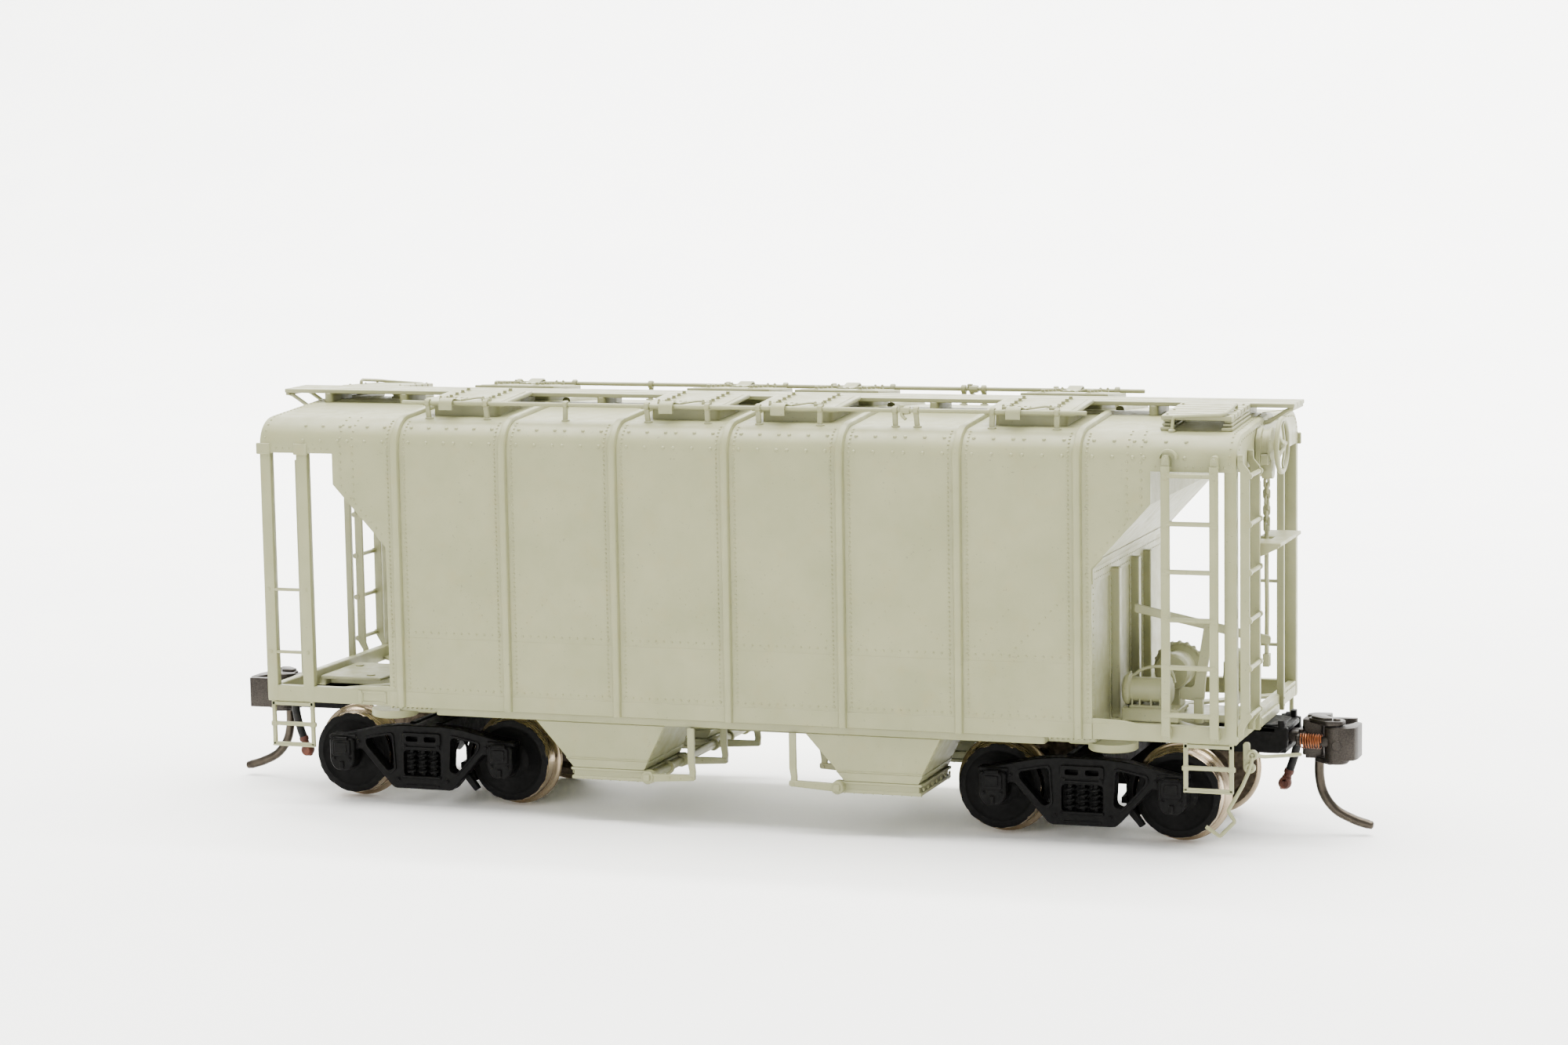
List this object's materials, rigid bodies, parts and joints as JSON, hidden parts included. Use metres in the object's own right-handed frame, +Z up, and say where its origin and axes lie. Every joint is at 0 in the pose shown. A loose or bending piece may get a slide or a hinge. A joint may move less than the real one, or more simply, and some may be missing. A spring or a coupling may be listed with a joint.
{
  "type": "model hopper car",
  "caption": "Scale model of a covered two-bay railway hopper car with open ends, hinged roof hatches, swivelling trucks and working knuckle couplers.",
  "frame": {"origin": "centre of the car on the plane that the wheel flanges stand on", "axes": "+X along the car towards the hand-brake end, +Z up, +Y to the left when facing +X"},
  "size_m": [0.1376, 0.0344, 0.0478],
  "materials": {
    "grey_paint": "satin pale warm grey paint on plastic",
    "black_plastic": "satin black moulded plastic",
    "nickel_silver": "bright warm nickel treads, black painted faces",
    "cast_metal": "dark sintered metal",
    "spring_copper": "bright copper wire",
    "ballast_steel": "bare steel",
    "hose_rubber": "matt black hose with a rust brown end"
  },
  "bodies": {
    "carbody": {"body_shell": "grey_paint", "underframe": "grey_paint", "ballast_weight": "ballast_steel", "running_board": "grey_paint", "lateral_running_board_a": "grey_paint", "lateral_running_board_b": "grey_paint", "hatch_rod_r": "grey_paint", "hatch_rod_l": "grey_paint", "hopper_bay_a": "grey_paint", "hopper_bay_b": "grey_paint", "outlet_gates_a": "grey_paint", "outlet_gates_b": "grey_paint", "side_ladder_a": "grey_paint", "side_ladder_b": "grey_paint", "end_ladder_a": "grey_paint", "end_ladder_b": "grey_paint", "sill_step_a_r": "grey_paint", "sill_step_a_l": "grey_paint", "sill_step_b_r": "grey_paint", "sill_step_b_l": "grey_paint", "brake_gear_housing": "grey_paint", "brake_chain": "grey_paint", "brake_platform": "grey_paint", "brake_lever": "grey_paint", "air_reservoir": "grey_paint", "brake_cylinder": "grey_paint", "control_valve": "grey_paint", "coupler_box_a": "black_plastic", "coupler_box_b": "black_plastic", "air_hose_a": "hose_rubber", "air_hose_b": "hose_rubber", "uncoupling_lever_a": "grey_paint", "uncoupling_lever_b": "grey_paint", "truck_screw_a": "ballast_steel", "truck_screw_b": "ballast_steel"},
    "hatch_cover_r1": {"hatch_cover_r1": "grey_paint"},
    "hatch_cover_r2": {"hatch_cover_r2": "grey_paint"},
    "hatch_cover_r3": {"hatch_cover_r3": "grey_paint"},
    "hatch_cover_r4": {"hatch_cover_r4": "grey_paint"},
    "hatch_cover_l1": {"hatch_cover_l1": "grey_paint"},
    "hatch_cover_l2": {"hatch_cover_l2": "grey_paint"},
    "hatch_cover_l3": {"hatch_cover_l3": "grey_paint"},
    "hatch_cover_l4": {"hatch_cover_l4": "grey_paint"},
    "truck_a": {"truck_frame_a": "black_plastic"},
    "wheelset_a1": {"wheelset_a1": "nickel_silver"},
    "wheelset_a2": {"wheelset_a2": "nickel_silver"},
    "coupler_a": {"coupler_a": "cast_metal", "knuckle_spring_a": "spring_copper"},
    "knuckle_a": {"knuckle_a": "cast_metal"},
    "truck_b": {"truck_frame_b": "black_plastic"},
    "wheelset_b1": {"wheelset_b1": "nickel_silver"},
    "wheelset_b2": {"wheelset_b2": "nickel_silver"},
    "coupler_b": {"coupler_b": "cast_metal", "knuckle_spring_b": "spring_copper"},
    "knuckle_b": {"knuckle_b": "cast_metal"},
    "brake_wheel": {"brake_wheel": "grey_paint"}
  },
  "joints": [
    {"name": "hatch_cover_r1_hinge", "type": "hinge", "parent": "carbody", "child": "hatch_cover_r1", "pos_m": [-0.0334, -0.0031, 0.04735], "axis": [-1, 0, 0], "range_deg": [0, 90]},
    {"name": "hatch_cover_r2_hinge", "type": "hinge", "parent": "carbody", "child": "hatch_cover_r2", "pos_m": [-0.0066, -0.0031, 0.04735], "axis": [-1, 0, 0], "range_deg": [0, 90]},
    {"name": "hatch_cover_r3_hinge", "type": "hinge", "parent": "carbody", "child": "hatch_cover_r3", "pos_m": [0.0066, -0.0031, 0.04735], "axis": [-1, 0, 0], "range_deg": [0, 90]},
    {"name": "hatch_cover_r4_hinge", "type": "hinge", "parent": "carbody", "child": "hatch_cover_r4", "pos_m": [0.0334, -0.0031, 0.04735], "axis": [-1, 0, 0], "range_deg": [0, 90]},
    {"name": "hatch_cover_l1_hinge", "type": "hinge", "parent": "carbody", "child": "hatch_cover_l1", "pos_m": [-0.0334, 0.0031, 0.04735], "axis": [1, 0, 0], "range_deg": [0, 90]},
    {"name": "hatch_cover_l2_hinge", "type": "hinge", "parent": "carbody", "child": "hatch_cover_l2", "pos_m": [-0.0066, 0.0031, 0.04735], "axis": [1, 0, 0], "range_deg": [0, 90]},
    {"name": "hatch_cover_l3_hinge", "type": "hinge", "parent": "carbody", "child": "hatch_cover_l3", "pos_m": [0.0066, 0.0031, 0.04735], "axis": [1, 0, 0], "range_deg": [0, 90]},
    {"name": "hatch_cover_l4_hinge", "type": "hinge", "parent": "carbody", "child": "hatch_cover_l4", "pos_m": [0.0334, 0.0031, 0.04735], "axis": [1, 0, 0], "range_deg": [0, 90]},
    {"name": "truck_a_swivel", "type": "hinge", "parent": "carbody", "child": "truck_a", "pos_m": [-0.03932, 0, 0.0102], "axis": [0, 0, 1], "range_deg": [-10, 10]},
    {"name": "wheelset_a1_spin", "type": "hinge", "parent": "truck_a", "child": "wheelset_a1", "pos_m": [-0.04932, 0, 0.00545], "axis": [0, 1, 0], "continuous": true},
    {"name": "wheelset_a2_spin", "type": "hinge", "parent": "truck_a", "child": "wheelset_a2", "pos_m": [-0.02932, 0, 0.00545], "axis": [0, 1, 0], "continuous": true},
    {"name": "coupler_a_swing", "type": "hinge", "parent": "carbody", "child": "coupler_a", "pos_m": [-0.056, 0, 0.0108], "axis": [0, 0, 1], "range_deg": [-10, 10], "stiffness_Nm_per_rad": 0.004},
    {"name": "knuckle_a_open", "type": "hinge", "parent": "coupler_a", "child": "knuckle_a", "pos_m": [-0.065, 0.0017, 0.0105], "axis": [0, 0, -1], "range_deg": [0, 20], "stiffness_Nm_per_rad": 0.002},
    {"name": "truck_b_swivel", "type": "hinge", "parent": "carbody", "child": "truck_b", "pos_m": [0.03932, 0, 0.0102], "axis": [0, 0, 1], "range_deg": [-10, 10]},
    {"name": "wheelset_b1_spin", "type": "hinge", "parent": "truck_b", "child": "wheelset_b1", "pos_m": [0.02932, 0, 0.00545], "axis": [0, 1, 0], "continuous": true},
    {"name": "wheelset_b2_spin", "type": "hinge", "parent": "truck_b", "child": "wheelset_b2", "pos_m": [0.04932, 0, 0.00545], "axis": [0, 1, 0], "continuous": true},
    {"name": "coupler_b_swing", "type": "hinge", "parent": "carbody", "child": "coupler_b", "pos_m": [0.056, 0, 0.0108], "axis": [0, 0, 1], "range_deg": [-10, 10], "stiffness_Nm_per_rad": 0.004},
    {"name": "knuckle_b_open", "type": "hinge", "parent": "coupler_b", "child": "knuckle_b", "pos_m": [0.065, -0.0017, 0.0105], "axis": [0, 0, -1], "range_deg": [0, 20], "stiffness_Nm_per_rad": 0.002},
    {"name": "brake_wheel_spin", "type": "hinge", "parent": "carbody", "child": "brake_wheel", "pos_m": [0.05975, -0.0055, 0.0432], "axis": [1, 0, 0], "continuous": true}
  ]
}
